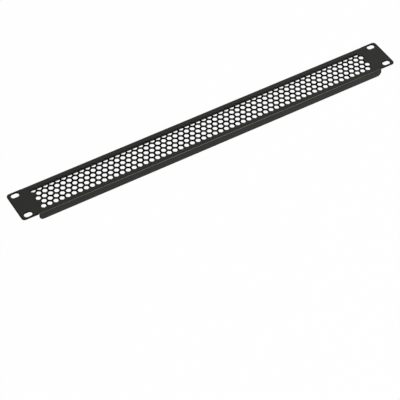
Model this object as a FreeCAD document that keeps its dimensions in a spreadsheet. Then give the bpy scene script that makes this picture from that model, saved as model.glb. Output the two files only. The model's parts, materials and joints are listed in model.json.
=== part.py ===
import FreeCAD, Part
import math
import os
import Sketcher

# Rack blanking panel, one rack unit high: a single sheet of steel, punched and then folded.
#
# The flat front face carries a field of hexagonal vent holes in staggered rows. A shallow flange is
# folded back along each long edge, and the face runs on past the flanges as two flat ears, each with
# two slots for the screws that hold it to the rack's rails.
#
# Frame, in millimetres: the origin is the centre of the four slots, on the back face that lies
# against the rails. +X runs along the panel, +Y up the rack and +Z out of the front face.

SIZES = {
    "panel_length": 482.6,         # over both ears
    "rack_unit": 44.45,            # height of one unit of the rack
    "unit_clearance": 0.79,        # what the panel leaves free of its unit
    "sheet_thickness": 1.2,
    "bend_radius": 0.5,            # inside the fold
    "flange_depth": 10.0,          # front face to the flange's free edge
    "flange_corner_radius": 5.0,
    "ear_width": 19.3,             # end of the panel to the end of the flanges
    "ear_edge_inset": 0.63,        # how far the ears' long edges stay inside the flanges
    "ear_corner_radius": 3.8,
    "bend_relief": 0.5,            # slit between the end of a flange and the ear's shoulder
    "slot_end_inset": 8.75,        # end of the panel to the slots' centres
    "slot_unit_inset": 6.35,       # edge of the rack unit to the slots' centres
    "slot_length": 9.8,
    "slot_width": 6.4,
    "hex_flats": 5.7,              # vent hole, across its flats
    "hex_web": 1.69,               # steel left between two vent holes
    "field_end_margin": 6.0,       # least plain steel between the vents and a flange's end
    "field_side_margin": 3.0,      # least plain steel between the vents and a fold
}

# What follows from those sizes, as formulas on the sheet.
HEIGHT = "(sizes.rack_unit - sizes.unit_clearance)"
EAR_HEIGHT = f"({HEIGHT} - 2 * sizes.ear_edge_inset)"
FLAT_HEIGHT = f"({HEIGHT} - 2 * (sizes.sheet_thickness + sizes.bend_radius))"
FLANGE_LENGTH = "(sizes.panel_length - 2 * sizes.ear_width)"
SHOULDER_LENGTH = f"({FLANGE_LENGTH} + 2 * sizes.bend_relief)"
FLANGE_BELOW_BACK = "(sizes.flange_depth - sizes.sheet_thickness)"
SLOT_SPAN = "(sizes.panel_length - 2 * sizes.slot_end_inset)"
SLOT_RISE = "(sizes.rack_unit - 2 * sizes.slot_unit_inset)"
SLOT_STRAIGHT = "(sizes.slot_length - sizes.slot_width)"
HEX_RADIUS = "(sizes.hex_flats / sqrt(3))"
PITCH = "(sizes.hex_flats + sizes.hex_web)"
ROW_PITCH = f"({PITCH} * sqrt(3) / 2)"
FIELD_LENGTH = f"({FLANGE_LENGTH} - 2 * sizes.field_end_margin - sizes.hex_flats - {PITCH} / 2)"
FIELD_HEIGHT = f"({FLAT_HEIGHT} - 2 * sizes.field_side_margin - 2 * {HEX_RADIUS})"
COLUMNS = f"(floor({FIELD_LENGTH} / {PITCH}) + 1)"
ROWS = f"(floor({FIELD_HEIGHT} / {ROW_PITCH}) + 1)"
FIRST_ROW = f"(({ROWS} - 1) / 2 * {ROW_PITCH})"
MIDDLE_COLUMN = f"(({COLUMNS} - 1) / 2 * {PITCH})"

ORIGIN = -1          # a sketch's number for its origin and its horizontal axis
START = 1            # a sketch's numbers for the points of a line, arc or circle
END = 2
CENTRE = 3
VOLUME_TOLERANCE = 1e-3
POSITION_TOLERANCE = 1e-4

document = FreeCAD.newDocument("rack_blanking_panel")
sheet = document.addObject("Spreadsheet::Sheet", "sizes")
for row, (alias, millimetres) in enumerate(SIZES.items(), start=1):
    sheet.set(f"A{row}", alias)
    sheet.set(f"B{row}", str(millimetres))
    sheet.setAlias(f"B{row}", alias)
document.recompute()

panel = document.addObject("PartDesign::Body", "panel")
panel.Label = "panel"
panel.Placement = FreeCAD.Placement()


def value(formula):
    """The number that a formula on the sheet gives now."""
    return float(sheet.evalExpression(formula))


def origin_feature(role):
    """One of the body's own base planes or axes."""
    return next(item for item in panel.Origin.OriginFeatures if item.Role == role)


def new_sketch(name, plane):
    sketch = panel.newObject("Sketcher::SketchObject", name)
    sketch.AttachmentSupport = [(origin_feature(plane), "")]
    sketch.MapMode = "FlatFace"
    return sketch


def bind(sketch, name, formula, kind, *places):
    """Add a sized constraint and tie it to its formula."""
    index = sketch.addConstraint(Sketcher.Constraint(kind, *places, value(formula)))
    sketch.renameConstraint(index, name)
    sketch.setExpression(f"Constraints.{name}", formula)


def bind_from_origin(sketch, name, formula, kind, side, item, point):
    """Hold a point at a distance from the origin, on its positive or its negative side."""
    if side > 0:
        bind(sketch, name, formula, kind, ORIGIN, START, item, point)
    else:
        bind(sketch, name, formula, kind, item, point, ORIGIN, START)


def join(sketch, kind, first, first_point, second, second_point):
    sketch.addConstraint(Sketcher.Constraint(kind, first, first_point, second, second_point))


def add_line(sketch, x1, y1, x2, y2):
    return sketch.addGeometry(Part.LineSegment(FreeCAD.Vector(x1, y1, 0), FreeCAD.Vector(x2, y2, 0)))


def add_arc(sketch, x, y, radius, start_angle, end_angle):
    circle = Part.Circle(FreeCAD.Vector(x, y, 0), FreeCAD.Vector(0, 0, 1), radius)
    return sketch.addGeometry(Part.ArcOfCircle(circle, start_angle, end_angle))


def settle(feature):
    """Recompute, and stop if the feature did not come out."""
    document.recompute()
    if feature.State and ({"Invalid", "Error"} & set(feature.State)):
        raise RuntimeError(f"{feature.Name}: {feature.State}")


def add_pad(name, sketch, length, symmetric=False):
    pad = panel.newObject("PartDesign::Pad", name)
    pad.Profile = sketch
    pad.SideType = "Symmetric" if symmetric else "One side"
    pad.setExpression("Length", length)
    settle(pad)
    return pad


def near(number, target):
    return abs(number - target) < POSITION_TOLERANCE


def add_fillet(name, radius, direction, chosen):
    """Round the edges of the solid so far that run one way and start where a test says."""
    base = panel.Tip
    names = []
    for number, edge in enumerate(base.Shape.Edges, start=1):
        run = edge.Vertexes[-1].Point - edge.Vertexes[0].Point
        if near(run.cross(direction).Length, 0) and chosen(edge.Vertexes[0].Point):
            names.append(f"Edge{number}")
    fillet = panel.newObject("PartDesign::Fillet", name)
    fillet.Base = (base, names)
    fillet.setExpression("Radius", radius)
    settle(fillet)
    return fillet


def punch_columns(name, sketch, columns, offset):
    """Punch a sketch through the face, repeat it along the panel, and check what was cut away."""
    volume_before = panel.Tip.Shape.Volume
    punch = panel.newObject("PartDesign::Pocket", name)
    punch.Profile = sketch
    punch.Type = "Length"
    punch.setExpression("Length", "sizes.sheet_thickness")
    punch.Reversed = True
    settle(punch)
    repeat = panel.newObject("PartDesign::LinearPattern", f"{name}_repeated")
    repeat.Originals = [punch]
    repeat.Direction = (origin_feature("X_Axis"), [""])
    repeat.Mode = "Spacing"
    repeat.setExpression("Offset", offset)
    repeat.setExpression("Occurrences", columns)
    panel.Tip = repeat
    settle(repeat)
    column_area = sum(Part.Face(wire).Area for wire in sketch.Shape.Wires)
    expected = value(columns) * column_area * sheet.sheet_thickness
    removed = volume_before - repeat.Shape.Volume
    if abs(removed - expected) > VOLUME_TOLERANCE * expected:
        raise RuntimeError(f"{name}: {removed:.2f} mm3 cut, not {expected:.2f}")


def add_front_face():
    """The flat sheet: narrow between the folds, taller at the ears, all in one outline."""
    sketch = new_sketch("front_outline", "XY_Plane")
    half_end = "sizes.panel_length / 2"
    half_shoulder = f"{SHOULDER_LENGTH} / 2"
    half_ear = f"{EAR_HEIGHT} / 2"
    half_flat = f"{FLAT_HEIGHT} / 2"
    # From the fold out to the end of the ear, and back on the other side of the X axis.
    ear = [(half_shoulder, half_flat, 1), (half_shoulder, half_ear, 1), (half_end, half_ear, 1),
           (half_end, half_ear, -1), (half_shoulder, half_ear, -1), (half_shoulder, half_flat, -1)]
    corners = [(x, 1, y, side) for x, y, side in ear]
    corners += [(x, -1, y, side) for x, y, side in reversed(ear)]
    points = [(x_side * value(x), y_side * value(y)) for x, x_side, y, y_side in corners]
    for start, end in zip(points, points[1:] + points[:1]):
        add_line(sketch, *start, *end)
    for number, (x, x_side, y, y_side) in enumerate(corners):
        join(sketch, "Coincident", number - 1 if number else len(corners) - 1, END, number, START)
        bind_from_origin(sketch, f"corner{number}_x", x, "DistanceX", x_side, number, START)
        bind_from_origin(sketch, f"corner{number}_y", y, "DistanceY", y_side, number, START)
    add_pad("front_face", sketch, "sizes.sheet_thickness")
    end = value(half_end)
    edge = value(half_ear)
    add_fillet("ear_corners", "sizes.ear_corner_radius", FreeCAD.Vector(0, 0, 1),
               lambda point: near(abs(point.x), end) and near(abs(point.y), edge))


def add_flanges():
    """One flange with its fold, drawn in section, run along the panel and mirrored."""
    sketch = new_sketch("flange_section", "YZ_Plane")
    outside = value(f"{HEIGHT} / 2")
    inside = outside - sheet.sheet_thickness
    fold = inside - sheet.bend_radius
    free_edge = -value(FLANGE_BELOW_BACK)
    below = -sheet.bend_radius
    outer_radius = sheet.bend_radius + sheet.sheet_thickness
    seam = add_line(sketch, fold, 0, fold, sheet.sheet_thickness)
    outer_arc = add_arc(sketch, fold, below, outer_radius, 0, math.pi / 2)
    outer_side = add_line(sketch, outside, below, outside, free_edge)
    rim = add_line(sketch, outside, free_edge, inside, free_edge)
    inner_side = add_line(sketch, inside, free_edge, inside, below)
    inner_arc = add_arc(sketch, fold, below, sheet.bend_radius, 0, math.pi / 2)
    join(sketch, "Coincident", seam, END, outer_arc, END)
    join(sketch, "Tangent", outer_arc, START, outer_side, START)
    join(sketch, "Coincident", outer_side, END, rim, START)
    join(sketch, "Coincident", rim, END, inner_side, START)
    join(sketch, "Tangent", inner_side, END, inner_arc, START)
    join(sketch, "Coincident", inner_arc, END, seam, START)
    join(sketch, "Coincident", outer_arc, CENTRE, inner_arc, CENTRE)
    join(sketch, "Vertical", outer_arc, CENTRE, seam, START)
    for upright in (seam, outer_side, inner_side):
        sketch.addConstraint(Sketcher.Constraint("Vertical", upright))
    sketch.addConstraint(Sketcher.Constraint("Horizontal", rim))
    sketch.addConstraint(Sketcher.Constraint("PointOnObject", seam, START, ORIGIN))
    bind(sketch, "fold_radius", "sizes.bend_radius", "Radius", inner_arc)
    bind(sketch, "wall", "sizes.sheet_thickness", "DistanceX", rim, END, rim, START)
    bind(sketch, "half_height", f"{HEIGHT} / 2", "DistanceX", ORIGIN, START, outer_side, START)
    bind(sketch, "reach", FLANGE_BELOW_BACK, "DistanceY", outer_side, END, ORIGIN, START)
    flange = add_pad("flange", sketch, FLANGE_LENGTH, symmetric=True)
    pair = panel.newObject("PartDesign::Mirrored", "flange_pair")
    pair.Originals = [flange]
    pair.MirrorPlane = (origin_feature("XZ_Plane"), [""])
    panel.Tip = pair
    settle(pair)
    end = value(f"{FLANGE_LENGTH} / 2")
    add_fillet("flange_corners", "sizes.flange_corner_radius", FreeCAD.Vector(0, 1, 0),
               lambda point: near(abs(point.x), end) and near(point.z, free_edge))


def add_slot(sketch, x, y):
    """A slot rounded at both ends, lying along X; returns its left and right ends."""
    reach = value(f"{SLOT_STRAIGHT} / 2")
    radius = sheet.slot_width / 2
    right = add_arc(sketch, x + reach, y, radius, -math.pi / 2, math.pi / 2)
    top = add_line(sketch, x + reach, y + radius, x - reach, y + radius)
    left = add_arc(sketch, x - reach, y, radius, math.pi / 2, 3 * math.pi / 2)
    bottom = add_line(sketch, x - reach, y - radius, x + reach, y - radius)
    join(sketch, "Tangent", right, END, top, START)
    join(sketch, "Tangent", top, END, left, START)
    join(sketch, "Tangent", left, END, bottom, START)
    join(sketch, "Tangent", bottom, END, right, START)
    sketch.addConstraint(Sketcher.Constraint("Equal", right, left))
    return left, right


def punch_slots():
    """Two screw slots, one above the other at one end of the panel, repeated at the other end."""
    sketch = new_sketch("slot_column", "XY_Plane")
    x = -value(f"{SLOT_SPAN} / 2")
    y = value(f"{SLOT_RISE} / 2")
    left, right = add_slot(sketch, x, -y)
    upper_left, upper_right = add_slot(sketch, x, y)
    bind(sketch, "end_radius", "sizes.slot_width / 2", "Radius", right)
    bind(sketch, "straight", SLOT_STRAIGHT, "DistanceX", left, CENTRE, right, CENTRE)
    bind(sketch, "from_middle", f"({SLOT_SPAN} - {SLOT_STRAIGHT}) / 2", "DistanceX",
         right, CENTRE, ORIGIN, START)
    bind(sketch, "below_middle", f"{SLOT_RISE} / 2", "DistanceY", right, CENTRE, ORIGIN, START)
    join(sketch, "Horizontal", left, CENTRE, right, CENTRE)
    sketch.addConstraint(Sketcher.Constraint("Equal", right, upper_right))
    for lower, upper in ((left, upper_left), (right, upper_right)):
        sketch.addConstraint(Sketcher.Constraint("Symmetric", lower, CENTRE, upper, CENTRE, ORIGIN))
    punch_columns("slots", sketch, "2", SLOT_SPAN)


def add_hexagon(sketch, x, y):
    """A regular hexagon standing on a corner, inside its construction circle."""
    radius = value(HEX_RADIUS)
    turns = [math.radians(30 + 60 * corner) for corner in range(6)]
    points = [(x + radius * math.cos(turn), y + radius * math.sin(turn)) for turn in turns]
    sides = [add_line(sketch, *start, *end) for start, end in zip(points, points[1:] + points[:1])]
    circle = sketch.addGeometry(
        Part.Circle(FreeCAD.Vector(x, y, 0), FreeCAD.Vector(0, 0, 1), radius), True)
    for number, side in enumerate(sides):
        join(sketch, "Coincident", side, END, sides[(number + 1) % 6], START)
        sketch.addConstraint(Sketcher.Constraint("PointOnObject", side, START, circle))
    for side in sides[1:]:
        sketch.addConstraint(Sketcher.Constraint("Equal", sides[0], side))
    sketch.addConstraint(Sketcher.Constraint("Vertical", sides[-1]))
    return circle


def punch_vents():
    """One column of vents, each row half a pitch along from the last, repeated along the panel."""
    sketch = new_sketch("vent_column", "XY_Plane")
    first_column = f"({MIDDLE_COLUMN} + {PITCH} / 4)"
    step = value(f"{PITCH} / 2")
    rise = value(ROW_PITCH)
    rows = round(value(ROWS))
    circles = [add_hexagon(sketch, row % 2 * step - value(first_column), row * rise - value(FIRST_ROW))
               for row in range(rows)]
    bind(sketch, "corner_radius", HEX_RADIUS, "Radius", circles[0])
    bind(sketch, "from_middle", first_column, "DistanceX", circles[0], CENTRE, ORIGIN, START)
    bind(sketch, "below_middle", FIRST_ROW, "DistanceY", circles[0], CENTRE, ORIGIN, START)
    for row in range(1, rows):
        last, circle = circles[row - 1], circles[row]
        left, right = (last, circle) if row % 2 else (circle, last)
        sketch.addConstraint(Sketcher.Constraint("Equal", last, circle))
        bind(sketch, f"row{row}_along", f"{PITCH} / 2", "DistanceX", left, CENTRE, right, CENTRE)
        bind(sketch, f"row{row}_up", ROW_PITCH, "DistanceY", last, CENTRE, circle, CENTRE)
    punch_columns("vents", sketch, COLUMNS, PITCH)


add_front_face()
add_flanges()
punch_slots()
punch_vents()

document.recompute()
for item in document.Objects:
    if {"Invalid", "Error"} & set(item.State):
        raise RuntimeError(f"{item.Name}: {item.State}")

os.makedirs("parts", exist_ok=True)
shape = panel.Shape
if shape.isNull() or not shape.isValid() or len(shape.Solids) != 1:
    raise RuntimeError("panel: not one valid solid")
shape.exportStep(os.path.join("parts", f"{panel.Label}.step"))
box = shape.BoundBox
print(f"panel: {shape.Volume:.1f} mm3, {box.XLength:.2f} x {box.YLength:.2f} x {box.ZLength:.2f} mm")
print(f"vents: {value(ROWS):.0f} rows of {value(COLUMNS):.0f}")
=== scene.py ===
import json
import math

import bmesh
import bpy
from mathutils import Matrix, Vector


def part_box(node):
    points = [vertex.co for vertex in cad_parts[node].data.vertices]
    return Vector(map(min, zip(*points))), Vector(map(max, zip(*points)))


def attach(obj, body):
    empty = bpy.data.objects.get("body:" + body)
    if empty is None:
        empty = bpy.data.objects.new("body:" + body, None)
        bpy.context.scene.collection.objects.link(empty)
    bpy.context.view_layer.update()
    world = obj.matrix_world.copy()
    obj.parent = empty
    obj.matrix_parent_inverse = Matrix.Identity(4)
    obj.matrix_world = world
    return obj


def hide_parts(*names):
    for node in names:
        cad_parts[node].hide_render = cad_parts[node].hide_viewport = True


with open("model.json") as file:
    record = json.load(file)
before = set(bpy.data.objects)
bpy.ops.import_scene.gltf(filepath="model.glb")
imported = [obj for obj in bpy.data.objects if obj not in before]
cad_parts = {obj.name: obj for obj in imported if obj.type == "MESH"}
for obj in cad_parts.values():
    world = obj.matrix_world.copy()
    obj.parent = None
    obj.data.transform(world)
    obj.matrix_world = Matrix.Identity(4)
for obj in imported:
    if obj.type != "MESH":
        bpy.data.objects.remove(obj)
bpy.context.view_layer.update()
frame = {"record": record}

# Sizes in metres, as the sheet is punched and folded. The frame gives the rest.
MM = 0.001
TINY = 0.01 * MM
SHEET = 1.2 * MM
BEND_OUTER = 1.7 * MM
EAR_WIDTH = 19.3 * MM
EAR_EDGE_INSET = 0.63 * MM
EAR_CORNER = 3.8 * MM
BEND_RELIEF = 0.5 * MM
FLANGE_CORNER = 5.0 * MM
HEX_PUNCHED = 5.7 * MM
HEX_PITCH = 7.39 * MM
HEX_CORNER_CUT = 0.2 * MM
VENT_COLUMNS = 58
VENT_ROWS = 5
RIM_ROUNDING = 0.16 * MM
RIM_ANGLE = math.radians(50)
CORNER_STEPS = 10
FOLD_STEPS = 8

# The coat's thickness, and the width of the band of painted shade along an edge. The band is only
# on flat faces, whose normals lie this close to an axis.
COAT_BUILD = 0.15 * MM
EDGE_BAND = 0.9 * MM
FLAT_NORMAL = 0.999

# The coat's colour, roughness and specular level on the open steel, and those of the near-black
# painted shade on the webs, the punched walls and the bands along the edges.
COAT_COLOUR = (0.0133, 0.0133, 0.0111)
COAT_ROUGHNESS = 0.3
COAT_SPECULAR = 0.14
EDGE_SHADE_COLOUR = (0.003, 0.003, 0.003)
EDGE_SHADE_ROUGHNESS = 0.5
EDGE_SHADE_SPECULAR = 0.02

# The coat's pebbling, its slow drift as a share of the colour and the roughness, and the part of a
# noise that is spread over a range of values.
PEBBLE_HEIGHT = 0.02 * MM
PEBBLE_STRENGTH = 0.5
PEBBLE_SCALE = 1800
PEBBLE_DETAIL = 2
DRIFT_SCALE = 45
DRIFT_DETAIL = 3
COLOUR_DRIFT = 0.1
GLOSS_DRIFT = 0.06
NOISE_LOW = 0.3
NOISE_HIGH = 0.7

# The floor: its own grey, and how far it turns white where it is looked at.
FLOOR_SIZE = 12
FLOOR_GAP = 0.1 * MM
FLOOR_COLOUR = (0.42, 0.42, 0.42, 1)
FLOOR_ROUGHNESS = 0.8
FLOOR_WHITENESS = 0.985

# The room's light falls off from the front to the back, between two headings along Y.
ROOM_FRONT = 0.4
ROOM_BACK = 0.2
FRONT_HEADING = 0.2
BACK_HEADING = 0.9
WHITE = (1, 1, 1, 1)

# The lamp, in metres and watts.
LAMP_PLACE = Vector((0.95, -1.55, 1.95))
LAMP_WIDTH = 1.1
LAMP_HEIGHT = 0.75
LAMP_POWER = 80

# The camera: the point it looks at, its distance and turn from there, and its lens in millimetres.
CAMERA_AIM = Vector((-64.47, -91.33, 0.6)) * MM
CAMERA_DISTANCE = 1.7174
CAMERA_AZIMUTH = math.radians(30.555)
CAMERA_ELEVATION = math.radians(47.386)
CAMERA_ROLL = math.radians(-0.18)
CAMERA_SENSOR = 36
CAMERA_LENS = 143.91
CAMERA_REACH = 100

LOW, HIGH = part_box("panel")
FRONT = HIGH.z
END = HIGH.x
OUTSIDE = HIGH.y
SLOTS = next(mount for mount in frame["record"]["mounts"] if mount["name"] == "rack_slots")["dims"]
SLOT_X = SLOTS["spacing_x_mm"] * MM / 2
SLOT_Y = SLOTS["spacing_y_mm"] * MM / 2
SLOT_LENGTH = SLOTS["slot_length_mm"] * MM - 2 * COAT_BUILD
SLOT_WIDTH = 2 * SLOTS["hole_r_mm"] * MM - 2 * COAT_BUILD

FOLD = OUTSIDE - BEND_OUTER
EAR_EDGE = OUTSIDE - EAR_EDGE_INSET
FLANGE_END = END - EAR_WIDTH
SHOULDER = FLANGE_END + BEND_RELIEF
HEX_WEB = HEX_PITCH - HEX_PUNCHED + 2 * COAT_BUILD
ROW_PITCH = HEX_PITCH * math.sqrt(3) / 2
CELL_SIDE = HEX_PITCH / math.sqrt(3)
FIRST_ROW = (VENT_ROWS - 1) / 2 * ROW_PITCH
FIRST_COLUMN = (VENT_COLUMNS - 1) / 2 * HEX_PITCH


# ---------------------------------------------------------------- modelling helpers

def deselect():
    if bpy.context.mode != "OBJECT":
        bpy.ops.object.mode_set(mode="OBJECT")
    bpy.ops.object.select_all(action="DESELECT")


def take(piece):
    """Make a piece the only one selected."""
    deselect()
    piece.select_set(True)
    bpy.context.view_layer.objects.active = piece


def edit(piece, mode="VERT"):
    take(piece)
    bpy.ops.object.mode_set(mode="EDIT")
    bpy.ops.mesh.select_mode(type=mode)


def settle(piece):
    """Leave edit mode with the piece's place in its mesh."""
    take(piece)
    bpy.ops.object.transform_apply(location=True, rotation=True, scale=True)


def middle(face):
    return sum((vert.co for vert in face.verts), Vector()) / len(face.verts)


def pick(piece, kind, test):
    """In edit mode, select only the verts, edges or faces that pass a test."""
    bpy.ops.mesh.select_all(action="DESELECT")
    mesh = bmesh.from_edit_mesh(piece.data)
    for item in getattr(mesh, kind):
        if test(item):
            item.select_set(True)
    mesh.select_flush_mode()
    bmesh.update_edit_mesh(piece.data)


def apply_modifier(piece, name, kind, **values):
    take(piece)
    modifier = piece.modifiers.new(name, kind)
    for key, setting in values.items():
        setattr(modifier, key, setting)
    bpy.ops.object.modifier_apply(modifier=modifier.name)


def join(pieces, name):
    take(pieces[0])
    for piece in pieces:
        piece.select_set(True)
    bpy.ops.object.join()
    pieces[0].name = name
    return pieces[0]


def near(a, b):
    return abs(a - b) < TINY


# ---------------------------------------------------------------- the folded panel

def vent_rows(x, y, rows):
    """Hexagonal cells of web, each with its vent cut out, in every second row of the field."""
    deselect()
    bpy.ops.mesh.primitive_circle_add(
        vertices=6, radius=CELL_SIDE, fill_type="NGON", location=(x, y, FRONT))
    cell = bpy.context.active_object
    settle(cell)
    edit(cell, "FACE")
    bpy.ops.mesh.select_all(action="SELECT")
    bpy.ops.mesh.inset(thickness=HEX_WEB / 2)
    bpy.ops.mesh.bevel(offset=HEX_CORNER_CUT, affect="VERTICES", segments=1)
    pick(cell, "faces", lambda face: (middle(face) - Vector((x, y, FRONT))).length < TINY)
    bpy.ops.mesh.delete(type="FACE")
    deselect()
    apply_modifier(cell, "columns", "ARRAY", count=VENT_COLUMNS, use_relative_offset=False,
                   use_constant_offset=True, constant_offset_displace=(HEX_PITCH, 0, 0))
    apply_modifier(cell, "rows", "ARRAY", count=rows, use_relative_offset=False,
                   use_constant_offset=True, constant_offset_displace=(0, 2 * ROW_PITCH, 0))
    return cell


def traced_face(corners):
    """A flat face traced corner by corner from a single point."""
    deselect()
    bpy.ops.mesh.primitive_plane_add(size=EDGE_BAND, location=(*corners[0], FRONT))
    face = bpy.context.active_object
    settle(face)
    edit(face)
    bpy.ops.mesh.select_all(action="SELECT")
    bpy.ops.mesh.merge(type="CENTER")
    for start, end in zip(corners, corners[1:]):
        step = (end[0] - start[0], end[1] - start[1], 0)
        bpy.ops.mesh.extrude_region_move(TRANSFORM_OT_translate={"value": step})
    bpy.ops.mesh.select_all(action="SELECT")
    bpy.ops.mesh.edge_face_add()
    return face


def inset_band():
    """Part the face in edit mode into a narrow band and the inner face, which stays selected."""
    bpy.ops.mesh.select_mode(type="FACE")
    bpy.ops.mesh.select_all(action="SELECT")
    bpy.ops.mesh.inset(thickness=EDGE_BAND)


def front_outline():
    """A band along the edge of the flat sheet, with a seam marked on its inner side."""
    ear = [(FLANGE_END, FOLD), (SHOULDER, FOLD), (SHOULDER, EAR_EDGE), (END, EAR_EDGE)]
    right = ear + [(x, -y) for x, y in reversed(ear)]
    left = [(-x, y) for x, y in reversed(right)]
    outline = traced_face(right + left)
    pick(outline, "verts", lambda vert: near(abs(vert.co.x), END))
    bpy.ops.mesh.bevel(offset=EAR_CORNER, affect="VERTICES", segments=CORNER_STEPS)
    inset_band()
    bpy.ops.mesh.mark_seam()
    bpy.ops.mesh.delete(type="FACE")
    deselect()
    return outline


def slot_rim(x, y):
    """A band around one screw slot, with a seam marked on its outer side."""
    reach_x = SLOT_LENGTH / 2 + EDGE_BAND
    reach_y = SLOT_WIDTH / 2 + EDGE_BAND
    rim = traced_face([(x + reach_x, y + reach_y), (x - reach_x, y + reach_y),
                       (x - reach_x, y - reach_y), (x + reach_x, y - reach_y)])
    bpy.ops.mesh.bevel(offset=reach_y, affect="VERTICES", segments=CORNER_STEPS)
    bpy.ops.mesh.remove_doubles(threshold=TINY)
    bpy.ops.mesh.mark_seam()
    inset_band()
    bpy.ops.mesh.mark_seam(clear=True)
    bpy.ops.mesh.delete(type="FACE")
    deselect()
    return rim


def fill_plain_steel(panel):
    """Close the flat steel between the outline, the slots and the vent field."""
    edit(panel, "EDGE")
    bpy.ops.mesh.select_all(action="SELECT")
    bpy.ops.mesh.remove_doubles(threshold=TINY)
    pick(panel, "edges", lambda edge: edge.seam or (
        len(edge.link_faces) == 1 and near(edge.calc_length(), CELL_SIDE)))
    bpy.ops.mesh.fill(use_beauty=True)
    bpy.ops.mesh.select_all(action="SELECT")
    bpy.ops.mesh.mark_seam(clear=True)
    deselect()


def fold_flange(panel, side):
    """Turn one long edge down through the fold's radius, then run it on to the flange's depth."""
    edit(panel, "EDGE")

    def fold_line(edge):
        ends = [vert.co for vert in edge.verts]
        return all(near(end.y, side * FOLD) for end in ends) and near(
            edge.calc_length(), 2 * FLANGE_END)

    pick(panel, "edges", fold_line)
    bpy.ops.mesh.spin(steps=FOLD_STEPS, angle=side * math.pi / 2, axis=(1, 0, 0),
                      center=(0, side * FOLD, FRONT - BEND_OUTER))
    drop = LOW.z - (FRONT - BEND_OUTER)
    bpy.ops.mesh.extrude_region_move(TRANSFORM_OT_translate={"value": (0, 0, drop)})
    pick(panel, "verts", lambda vert: near(vert.co.z, LOW.z) and near(vert.co.y, side * OUTSIDE))
    bpy.ops.mesh.bevel(offset=FLANGE_CORNER, affect="VERTICES", segments=CORNER_STEPS)
    bpy.ops.mesh.select_mode(type="FACE")
    pick(panel, "faces", lambda face: len(face.verts) > 4 and near(middle(face).y, side * OUTSIDE))
    bpy.ops.mesh.inset(thickness=EDGE_BAND)
    deselect()


def paint_shade_on_edges(panel):
    """Give the webs in the vent field, and the bands on the ears and flanges, the painted shade.
    """
    edit(panel, "FACE")

    def along_an_edge(face):
        place = middle(face)
        flat = max(abs(face.normal.y), abs(face.normal.z)) > FLAT_NORMAL
        web = abs(place.y) < FIRST_ROW + CELL_SIDE / 2
        ear = abs(place.x) > FLANGE_END
        flange = abs(place.z - FRONT) > SHEET
        open_edge = any(len(edge.link_faces) == 1 for edge in face.edges)
        return flat and open_edge and (web or ear or flange)

    pick(panel, "faces", along_an_edge)
    panel.active_material_index = 1
    bpy.ops.object.material_slot_assign()
    deselect()


def make_panel(coat, edge_shade):
    odd_rows = vent_rows(-FIRST_COLUMN - HEX_PITCH / 4, -FIRST_ROW, VENT_ROWS // 2 + 1)
    even_rows = vent_rows(-FIRST_COLUMN + HEX_PITCH / 4, ROW_PITCH - FIRST_ROW, VENT_ROWS // 2)
    slots = [slot_rim(x, y) for x in (-SLOT_X, SLOT_X) for y in (-SLOT_Y, SLOT_Y)]
    panel = join([odd_rows, even_rows, front_outline(), *slots], "vented_panel")
    fill_plain_steel(panel)
    for side in (-1, 1):
        fold_flange(panel, side)
    edit(panel)
    bpy.ops.mesh.select_all(action="SELECT")
    bpy.ops.mesh.remove_doubles(threshold=TINY)
    bpy.ops.mesh.normals_make_consistent(inside=False)
    mesh = bmesh.from_edit_mesh(panel.data)
    if sum(face.normal.z for face in mesh.faces) < 0:
        bpy.ops.mesh.flip_normals()
    deselect()
    panel.data.materials.append(coat)
    panel.data.materials.append(edge_shade)
    paint_shade_on_edges(panel)
    # The punched walls and the rounded rims take the painted shade as well.
    apply_modifier(panel, "thickness", "SOLIDIFY", thickness=SHEET, offset=-1,
                   use_even_offset=True, material_offset_rim=1)
    apply_modifier(panel, "rim_rounding", "BEVEL", width=RIM_ROUNDING, segments=1,
                   limit_method="ANGLE", angle_limit=RIM_ANGLE, use_clamp_overlap=False,
                   material=1)
    bpy.ops.object.shade_smooth()
    apply_modifier(panel, "flat_faces", "WEIGHTED_NORMAL", mode="FACE_AREA")
    return panel


# ---------------------------------------------------------------- finishes

def principled(name):
    material = bpy.data.materials.new(name)
    material.use_nodes = True
    return material, material.node_tree.nodes, material.node_tree.links


def noise(group, scale, detail):
    """Noise that stays with the piece, sized in cycles to the metre."""
    place = group.nodes.new("ShaderNodeTexCoord")
    texture = group.nodes.new("ShaderNodeTexNoise")
    texture.inputs["Scale"].default_value = scale
    texture.inputs["Detail"].default_value = detail
    group.links.new(place.outputs["Object"], texture.inputs["Vector"])
    return texture.outputs["Fac"]


def spread(group, source, low, high):
    """Map a noise onto a range of values."""
    span = group.nodes.new("ShaderNodeMapRange")
    span.inputs["From Min"].default_value = NOISE_LOW
    span.inputs["From Max"].default_value = NOISE_HIGH
    span.inputs["To Min"].default_value = low
    span.inputs["To Max"].default_value = high
    group.links.new(source, span.inputs["Value"])
    return span.outputs["Result"]


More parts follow.
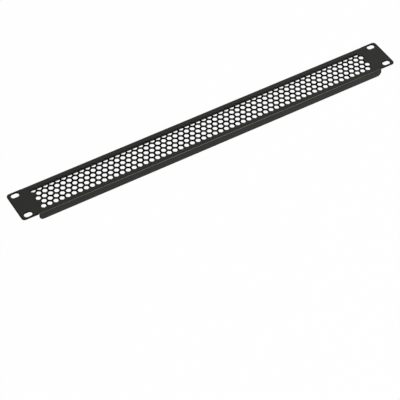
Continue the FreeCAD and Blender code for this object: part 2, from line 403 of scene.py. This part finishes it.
def powder_grain():
    """Fine pebbling, and a slow drift in colour and gloss where the powder flowed unevenly."""
    group = bpy.data.node_groups.new("powder_grain", "ShaderNodeTree")
    group.interface.new_socket("Colour", in_out="INPUT", socket_type="NodeSocketColor")
    group.interface.new_socket("Roughness", in_out="INPUT", socket_type="NodeSocketFloat")
    group.interface.new_socket("Colour", in_out="OUTPUT", socket_type="NodeSocketColor")
    group.interface.new_socket("Roughness", in_out="OUTPUT", socket_type="NodeSocketFloat")
    group.interface.new_socket("Normal", in_out="OUTPUT", socket_type="NodeSocketVector")
    given = group.nodes.new("NodeGroupInput")
    result = group.nodes.new("NodeGroupOutput")

    drift = noise(group, DRIFT_SCALE, DRIFT_DETAIL)
    pebbles = noise(group, PEBBLE_SCALE, PEBBLE_DETAIL)

    shade = group.nodes.new("ShaderNodeVectorMath")
    shade.operation = "SCALE"
    group.links.new(given.outputs["Colour"], shade.inputs[0])
    colour_drift = spread(group, drift, 1 - COLOUR_DRIFT, 1 + COLOUR_DRIFT)
    group.links.new(colour_drift, shade.inputs["Scale"])
    group.links.new(shade.outputs["Vector"], result.inputs["Colour"])

    roughness = group.nodes.new("ShaderNodeMath")
    roughness.operation = "MULTIPLY"
    group.links.new(given.outputs["Roughness"], roughness.inputs[0])
    gloss_drift = spread(group, drift, 1 + GLOSS_DRIFT, 1 - GLOSS_DRIFT)
    group.links.new(gloss_drift, roughness.inputs[1])
    group.links.new(roughness.outputs[0], result.inputs["Roughness"])

    bump = group.nodes.new("ShaderNodeBump")
    bump.inputs["Strength"].default_value = PEBBLE_STRENGTH
    bump.inputs["Distance"].default_value = PEBBLE_HEIGHT
    group.links.new(pebbles, bump.inputs["Height"])
    group.links.new(bump.outputs["Normal"], result.inputs["Normal"])
    return group


def powder_coat(name, grain, colour, roughness, specular):
    material, nodes, links = principled(name)
    shader = nodes["Principled BSDF"]
    shader.inputs["Specular IOR Level"].default_value = specular
    coat = nodes.new("ShaderNodeGroup")
    coat.node_tree = grain
    coat.inputs["Colour"].default_value = (*colour, 1)
    coat.inputs["Roughness"].default_value = roughness
    links.new(coat.outputs["Colour"], shader.inputs["Base Color"])
    links.new(coat.outputs["Roughness"], shader.inputs["Roughness"])
    links.new(coat.outputs["Normal"], shader.inputs["Normal"])
    return material


# ---------------------------------------------------------------- stage, light and camera

def where_looked_at(nodes, links):
    """One where a surface is looked at: straight, in a glossy surface or through glass."""
    path = nodes.new("ShaderNodeLightPath")
    found = path.outputs["Is Camera Ray"]
    for ray in ("Is Glossy Ray", "Is Transmission Ray"):
        either = nodes.new("ShaderNodeMath")
        either.operation = "MAXIMUM"
        links.new(found, either.inputs[0])
        links.new(path.outputs[ray], either.inputs[1])
        found = either.outputs[0]
    return found


def pale_stage():
    """A plain floor that looks white but still takes the panel's shadow."""
    deselect()
    bpy.ops.mesh.primitive_plane_add(size=FLOOR_SIZE, location=(0, 0, LOW.z - FLOOR_GAP))
    floor = bpy.context.active_object
    floor.name = "floor"
    settle(floor)
    material, nodes, links = principled("pale_floor")
    shader = nodes["Principled BSDF"]
    shader.inputs["Base Color"].default_value = FLOOR_COLOUR
    shader.inputs["Roughness"].default_value = FLOOR_ROUGHNESS
    shader.inputs["Specular IOR Level"].default_value = 0
    glow = nodes.new("ShaderNodeEmission")
    glow.inputs["Color"].default_value = WHITE
    mix = nodes.new("ShaderNodeMixShader")
    share = nodes.new("ShaderNodeMath")
    share.operation = "MULTIPLY"
    share.inputs[1].default_value = FLOOR_WHITENESS
    links.new(where_looked_at(nodes, links), share.inputs[0])
    links.new(share.outputs[0], mix.inputs["Fac"])
    links.new(shader.outputs[0], mix.inputs[1])
    links.new(glow.outputs[0], mix.inputs[2])
    links.new(mix.outputs[0], nodes["Material Output"].inputs["Surface"])
    material.cycles.emission_sampling = "NONE"
    floor.data.materials.append(material)


def studio_world():
    """White where it is looked at, and otherwise a room that is dimmer towards the back."""
    world = bpy.data.worlds.new("studio")
    bpy.context.scene.world = world
    world.use_nodes = True
    world.cycles.sampling_method = "NONE"
    nodes = world.node_tree.nodes
    links = world.node_tree.links
    background = nodes["Background"]
    background.inputs["Color"].default_value = WHITE
    direction = nodes.new("ShaderNodeTexCoord")
    axes = nodes.new("ShaderNodeSeparateXYZ")
    links.new(direction.outputs["Generated"], axes.inputs["Vector"])
    room = nodes.new("ShaderNodeMapRange")
    room.inputs["From Min"].default_value = FRONT_HEADING
    room.inputs["From Max"].default_value = BACK_HEADING
    room.inputs["To Min"].default_value = ROOM_FRONT
    room.inputs["To Max"].default_value = ROOM_BACK
    links.new(axes.outputs["Y"], room.inputs["Value"])
    strength = nodes.new("ShaderNodeMapRange")
    links.new(where_looked_at(nodes, links), strength.inputs["Value"])
    links.new(room.outputs["Result"], strength.inputs["To Min"])
    links.new(strength.outputs["Result"], background.inputs["Strength"])


def soft_lamp():
    """A wide lamp in front and to the right, turned towards the middle of the panel."""
    light = bpy.data.lights.new("key", "AREA")
    light.shape = "RECTANGLE"
    light.size = LAMP_WIDTH
    light.size_y = LAMP_HEIGHT
    light.energy = LAMP_POWER
    lamp = bpy.data.objects.new("key", light)
    lamp.location = LAMP_PLACE
    lamp.rotation_euler = (-LAMP_PLACE).to_track_quat("-Z", "Y").to_euler()
    bpy.context.scene.collection.objects.link(lamp)


def place_camera():
    """Stand off the panel's left end, look down along it, with a long lens."""
    level = math.cos(CAMERA_ELEVATION)
    forward = Vector((math.sin(CAMERA_AZIMUTH) * level, math.cos(CAMERA_AZIMUTH) * level,
                      -math.sin(CAMERA_ELEVATION)))
    data = bpy.data.cameras.new("camera")
    data.sensor_width = CAMERA_SENSOR
    data.lens = CAMERA_LENS
    data.clip_end = CAMERA_REACH
    camera = bpy.data.objects.new("camera", data)
    roll = Matrix.Rotation(CAMERA_ROLL, 4, "Z")
    turn = forward.to_track_quat("-Z", "Y").to_matrix().to_4x4() @ roll
    camera.matrix_world = Matrix.Translation(CAMERA_AIM - forward * CAMERA_DISTANCE) @ turn
    bpy.context.scene.collection.objects.link(camera)
    bpy.context.scene.camera = camera


grain = powder_grain()
coat = powder_coat("black_powder_coat", grain, COAT_COLOUR, COAT_ROUGHNESS, COAT_SPECULAR)
# Near-black painted shade for the vent webs, the punched walls and the bands along the edges.
edge_shade = powder_coat(
    "coat_on_punched_edge", grain, EDGE_SHADE_COLOUR, EDGE_SHADE_ROUGHNESS, EDGE_SHADE_SPECULAR)
panel = make_panel(coat, edge_shade)
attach(panel, "root")
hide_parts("panel")

pale_stage()
studio_world()
soft_lamp()
place_camera()
bpy.context.scene.view_settings.view_transform = "Standard"
